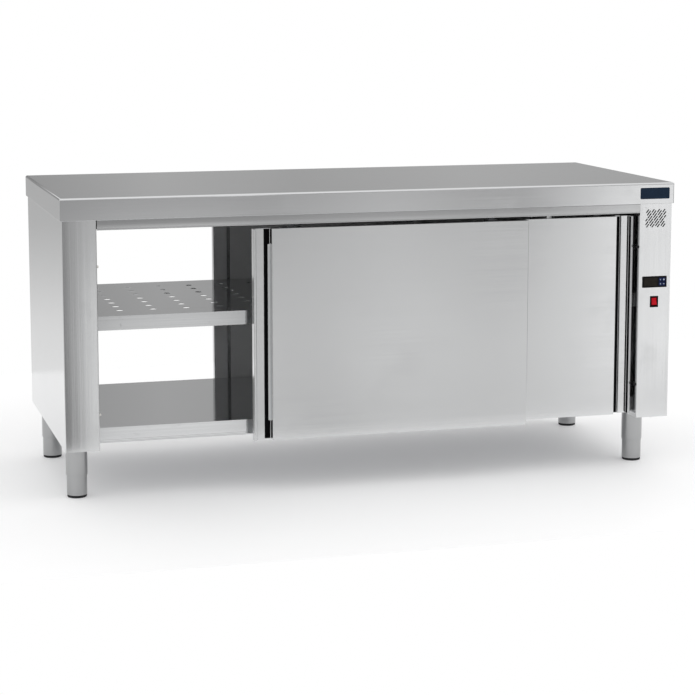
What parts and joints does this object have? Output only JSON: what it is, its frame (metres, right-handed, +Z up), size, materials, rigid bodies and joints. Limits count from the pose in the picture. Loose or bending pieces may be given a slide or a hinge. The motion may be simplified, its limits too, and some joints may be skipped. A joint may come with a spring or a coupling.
{
  "type": "plate warmer cabinet",
  "caption": "Heated pass-through cabinet for plates, with sliding doors on both long sides, a perforated shelf, a control column and adjustable legs.",
  "frame": {"origin": "centre of the footprint, on the floor", "axes": "+X along the cabinet towards the control column, +Y from the front to the back, +Z up"},
  "size_m": [1.8, 0.7506, 0.85],
  "materials": {
    "stainless": "satin brushed stainless sheet",
    "stainless_inner": "plain stainless sheet, inner parts",
    "galvanised": "zinc-coated sheet",
    "black_rubber": "matt rubber",
    "nylon": "natural nylon",
    "black_plastic": "fine-textured black moulding",
    "dark_window": "smoked display window",
    "navy_plastic": "dark blue moulding",
    "red_plastic": "translucent red rocker",
    "heater_alloy": "heat-darkened alloy tube",
    "mineral_wool": "mineral wool slab"
  },
  "bodies": {
    "cabinet": {"worktop": "stainless", "worktop_hats": "galvanised", "left_end_shell": "stainless", "right_end_shell": "stainless", "control_column": "stainless", "rear_column_cover": "stainless", "partition": "stainless_inner", "headers": "stainless", "top_tracks": "galvanised", "chamber_ceiling": "stainless_inner", "floor_tray": "stainless_inner", "base_pan": "galvanised", "floor_insulation": "mineral_wool", "mid_shelf": "stainless_inner", "shelf_cleats": "galvanised", "centre_guides": "nylon", "door_stops": "black_rubber", "leg_sleeves": "stainless", "duct_casing": "galvanised", "fan_motor": "galvanised", "heating_element": "heater_alloy", "air_probe": "stainless", "safety_thermostat": "black_plastic", "terminal_block": "nylon", "cable_gland": "black_plastic", "controller_bezel": "black_plastic", "display_window": "dark_window", "switch_bezel": "black_plastic", "apron_plate": "navy_plastic", "screws": "stainless"},
    "front_left_door": {"front_left_skin": "stainless", "front_left_liner": "stainless_inner", "front_left_hangers": "galvanised"},
    "front_left_roller_a": {"front_left_roller_a": "nylon"},
    "front_left_roller_b": {"front_left_roller_b": "nylon"},
    "front_right_door": {"front_right_skin": "stainless", "front_right_liner": "stainless_inner", "front_right_hangers": "galvanised"},
    "front_right_roller_a": {"front_right_roller_a": "nylon"},
    "front_right_roller_b": {"front_right_roller_b": "nylon"},
    "rear_left_door": {"rear_left_skin": "stainless", "rear_left_liner": "stainless_inner", "rear_left_hangers": "galvanised"},
    "rear_left_roller_a": {"rear_left_roller_a": "nylon"},
    "rear_left_roller_b": {"rear_left_roller_b": "nylon"},
    "rear_right_door": {"rear_right_skin": "stainless", "rear_right_liner": "stainless_inner", "rear_right_hangers": "galvanised"},
    "rear_right_roller_a": {"rear_right_roller_a": "nylon"},
    "rear_right_roller_b": {"rear_right_roller_b": "nylon"},
    "fan_wheel": {"fan_wheel": "galvanised"},
    "key_up": {"key_up": "navy_plastic"},
    "key_down": {"key_down": "navy_plastic"},
    "key_set": {"key_set": "navy_plastic"},
    "key_menu": {"key_menu": "navy_plastic"},
    "switch_rocker": {"switch_rocker": "red_plastic"},
    "foot_front_left": {"foot_front_left": "stainless"},
    "foot_front_right": {"foot_front_right": "stainless"},
    "foot_rear_left": {"foot_rear_left": "stainless"},
    "foot_rear_right": {"foot_rear_right": "stainless"}
  },
  "joints": [
    {"name": "front_left_slide", "type": "slide", "parent": "cabinet", "child": "front_left_door", "axis": [1, 0, 0], "range_m": [-0.428, 0.294]},
    {"name": "front_left_roller_a_spin", "type": "hinge", "parent": "front_left_door", "child": "front_left_roller_a", "pos_m": [-0.254, -0.357, 0.7731], "axis": [0, 1, 0], "range_deg": [-3086, 2126]},
    {"name": "front_left_roller_b_spin", "type": "hinge", "parent": "front_left_door", "child": "front_left_roller_b", "pos_m": [0.339, -0.357, 0.7731], "axis": [0, 1, 0], "range_deg": [-3086, 2126]},
    {"name": "front_right_slide", "type": "slide", "parent": "cabinet", "child": "front_right_door", "axis": [1, 0, 0], "range_m": [-0.722, 0]},
    {"name": "front_right_roller_a_spin", "type": "hinge", "parent": "front_right_door", "child": "front_right_roller_a", "pos_m": [0.084, -0.33, 0.7731], "axis": [0, 1, 0], "range_deg": [-5191, 20]},
    {"name": "front_right_roller_b_spin", "type": "hinge", "parent": "front_right_door", "child": "front_right_roller_b", "pos_m": [0.677, -0.33, 0.7731], "axis": [0, 1, 0], "range_deg": [-5191, 20]},
    {"name": "rear_left_slide", "type": "slide", "parent": "cabinet", "child": "rear_left_door", "axis": [1, 0, 0], "range_m": [-0.461, 0.261]},
    {"name": "rear_left_roller_a_spin", "type": "hinge", "parent": "rear_left_door", "child": "rear_left_roller_a", "pos_m": [-0.221, 0.33, 0.7731], "axis": [0, 1, 0], "range_deg": [-3322, 1890]},
    {"name": "rear_left_roller_b_spin", "type": "hinge", "parent": "rear_left_door", "child": "rear_left_roller_b", "pos_m": [0.372, 0.33, 0.7731], "axis": [0, 1, 0], "range_deg": [-3322, 1890]},
    {"name": "rear_right_slide", "type": "slide", "parent": "cabinet", "child": "rear_right_door", "axis": [1, 0, 0], "range_m": [-0.722, 0]},
    {"name": "rear_right_roller_a_spin", "type": "hinge", "parent": "rear_right_door", "child": "rear_right_roller_a", "pos_m": [0.084, 0.357, 0.7731], "axis": [0, 1, 0], "range_deg": [-5191, 20]},
    {"name": "rear_right_roller_b_spin", "type": "hinge", "parent": "rear_right_door", "child": "rear_right_roller_b", "pos_m": [0.677, 0.357, 0.7731], "axis": [0, 1, 0], "range_deg": [-5191, 20]},
    {"name": "fan_spin", "type": "hinge", "parent": "cabinet", "child": "fan_wheel", "pos_m": [0.83, 0, 0.47], "axis": [1, 0, 0], "continuous": true},
    {"name": "key_up_press", "type": "slide", "parent": "cabinet", "child": "key_up", "axis": [0, 1, 0], "range_m": [0, 0.0005], "stiffness_N_per_m": 1200},
    {"name": "key_down_press", "type": "slide", "parent": "cabinet", "child": "key_down", "axis": [0, 1, 0], "range_m": [0, 0.0005], "stiffness_N_per_m": 1200},
    {"name": "key_set_press", "type": "slide", "parent": "cabinet", "child": "key_set", "axis": [0, 1, 0], "range_m": [0, 0.0005], "stiffness_N_per_m": 1200},
    {"name": "key_menu_press", "type": "slide", "parent": "cabinet", "child": "key_menu", "axis": [0, 1, 0], "range_m": [0, 0.0005], "stiffness_N_per_m": 1200},
    {"name": "rocker_tilt", "type": "hinge", "parent": "cabinet", "child": "switch_rocker", "pos_m": [0.845, -0.365, 0.498], "axis": [1, 0, 0], "range_deg": [0, 16]},
    {"name": "foot_front_left_adjust", "type": "slide", "parent": "cabinet", "child": "foot_front_left", "axis": [0, 0, 1], "range_m": [-0.03, 0.04]},
    {"name": "foot_front_right_adjust", "type": "slide", "parent": "cabinet", "child": "foot_front_right", "axis": [0, 0, 1], "range_m": [-0.03, 0.04]},
    {"name": "foot_rear_left_adjust", "type": "slide", "parent": "cabinet", "child": "foot_rear_left", "axis": [0, 0, 1], "range_m": [-0.03, 0.04]},
    {"name": "foot_rear_right_adjust", "type": "slide", "parent": "cabinet", "child": "foot_rear_right", "axis": [0, 0, 1], "range_m": [-0.03, 0.04]}
  ],
  "couplings": [
    {"joint": "front_left_roller_a_spin", "follows": "front_left_slide", "rad_per_m": 125},
    {"joint": "front_left_roller_b_spin", "follows": "front_left_slide", "rad_per_m": 125},
    {"joint": "front_right_roller_a_spin", "follows": "front_right_slide", "rad_per_m": 125},
    {"joint": "front_right_roller_b_spin", "follows": "front_right_slide", "rad_per_m": 125},
    {"joint": "rear_left_roller_a_spin", "follows": "rear_left_slide", "rad_per_m": 125},
    {"joint": "rear_left_roller_b_spin", "follows": "rear_left_slide", "rad_per_m": 125},
    {"joint": "rear_right_roller_a_spin", "follows": "rear_right_slide", "rad_per_m": 125},
    {"joint": "rear_right_roller_b_spin", "follows": "rear_right_slide", "rad_per_m": 125}
  ]
}
